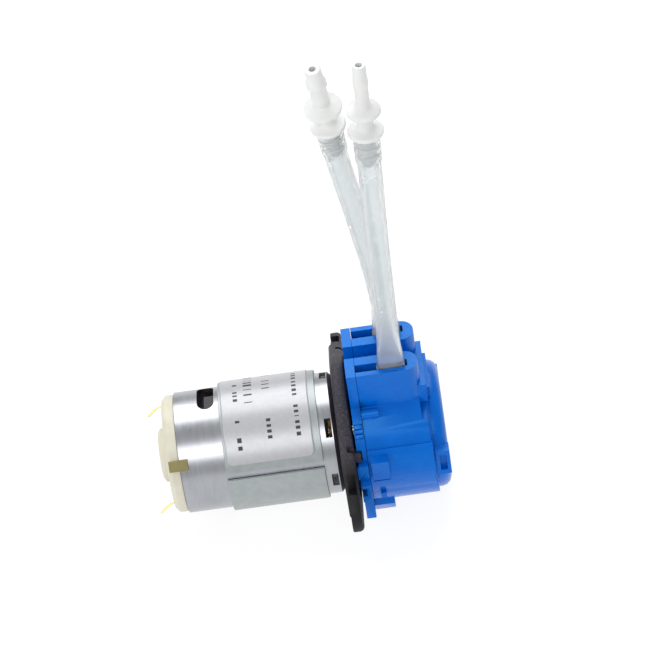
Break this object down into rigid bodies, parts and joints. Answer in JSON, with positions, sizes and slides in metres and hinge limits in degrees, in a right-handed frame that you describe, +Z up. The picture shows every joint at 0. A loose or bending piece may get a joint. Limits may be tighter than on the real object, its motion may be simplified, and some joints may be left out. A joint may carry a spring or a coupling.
{
  "type": "peristaltic pump",
  "caption": "Small direct-current peristaltic dosing pump: steel can motor, black two-ear mounting plate, round blue clip-on head, two upright silicone tubes with white barbed connectors.",
  "frame": {"origin": "middle of the footprint of motor and head without the free tubes, on the surface that the head stands on", "axes": "+X along the motor's axis from the terminals to the pump head, +Z up along the tubes as they leave the head, Y along the mounting plate's two ears"},
  "size_m": [0.0666, 0.0578, 0.1281],
  "materials": {
    "can_steel": "zinc-plated steel, satin",
    "ring_steel": "grey zinc-plated steel, satin",
    "label_film": "silver-white film label, semi-gloss",
    "cap_plastic": "cream plastic, satin",
    "tab_plastic": "olive-beige plastic",
    "terminal_brass": "bright brass",
    "carbon": "matt carbon",
    "spring_copper": "beryllium copper strip",
    "ferrite": "ferrite, matt",
    "core_steel": "laminated steel",
    "winding_copper": "enamelled copper wire",
    "commutator_copper": "copper segments",
    "shaft_steel": "ground steel",
    "bronze": "sintered bronze",
    "washer_plastic": "dark fibre washer",
    "plate_plastic": "black textured plastic",
    "screw_steel": "zinc-plated steel",
    "head_blue": "bright blue moulded plastic, semi-gloss",
    "rotor_white": "white acetal",
    "sleeve_rubber": "light elastomer sleeve",
    "tube_silicone": "translucent milky silicone",
    "connector_white": "white plastic"
  },
  "bodies": {
    "motor_and_head": {"motor_can": "can_steel", "flux_ring": "ring_steel", "motor_label": "label_film", "motor_end_cap": "cap_plastic", "cap_side_tab": "tab_plastic", "terminal_1": "terminal_brass", "terminal_2": "terminal_brass", "brush_1": "carbon", "brush_2": "carbon", "brush_arm_1": "spring_copper", "brush_arm_2": "spring_copper", "magnet_1": "ferrite", "magnet_2": "ferrite", "rear_bushing": "bronze", "front_bushing": "bronze", "thrust_washer": "washer_plastic", "mounting_plate": "plate_plastic", "plate_screw_1": "screw_steel", "plate_screw_2": "screw_steel", "head_base": "head_blue", "pump_housing": "head_blue", "front_cover": "head_blue", "tube_loop": "tube_silicone", "inlet_tube": "tube_silicone", "outlet_tube": "tube_silicone", "inlet_connector": "connector_white", "outlet_connector": "connector_white"},
    "armature": {"armature_core": "core_steel", "armature_windings": "winding_copper", "commutator": "commutator_copper", "motor_shaft": "shaft_steel", "drive_sleeve": "sleeve_rubber"},
    "rotor": {"rotor_carrier_back": "rotor_white", "rotor_carrier_front": "rotor_white", "roller_pin_1": "shaft_steel", "roller_pin_2": "shaft_steel", "roller_pin_3": "shaft_steel"},
    "roller_1": {"roller_1": "rotor_white"},
    "roller_2": {"roller_2": "rotor_white"},
    "roller_3": {"roller_3": "rotor_white"}
  },
  "joints": [
    {"name": "armature_spin", "type": "hinge", "parent": "motor_and_head", "child": "armature", "pos_m": [0.00925, 0, 0.0174], "axis": [1, 0, 0], "continuous": true},
    {"name": "rotor_spin", "type": "hinge", "parent": "motor_and_head", "child": "rotor", "pos_m": [0.02325, 0, 0.0174], "axis": [1, 0, 0], "continuous": true},
    {"name": "roller_1_spin", "type": "hinge", "parent": "rotor", "child": "roller_1", "pos_m": [0.02325, 0, 0.0104], "axis": [1, 0, 0], "continuous": true},
    {"name": "roller_2_spin", "type": "hinge", "parent": "rotor", "child": "roller_2", "pos_m": [0.02325, 0.00606, 0.0209], "axis": [1, 0, 0], "continuous": true},
    {"name": "roller_3_spin", "type": "hinge", "parent": "rotor", "child": "roller_3", "pos_m": [0.02325, -0.00606, 0.0209], "axis": [1, 0, 0], "continuous": true}
  ],
  "couplings": [
    {"joint": "rotor_spin", "follows": "armature_spin", "ratio": 0.21071},
    {"joint": "roller_1_spin", "follows": "armature_spin", "ratio": -0.57491},
    {"joint": "roller_2_spin", "follows": "armature_spin", "ratio": -0.57491},
    {"joint": "roller_3_spin", "follows": "armature_spin", "ratio": -0.57491}
  ]
}
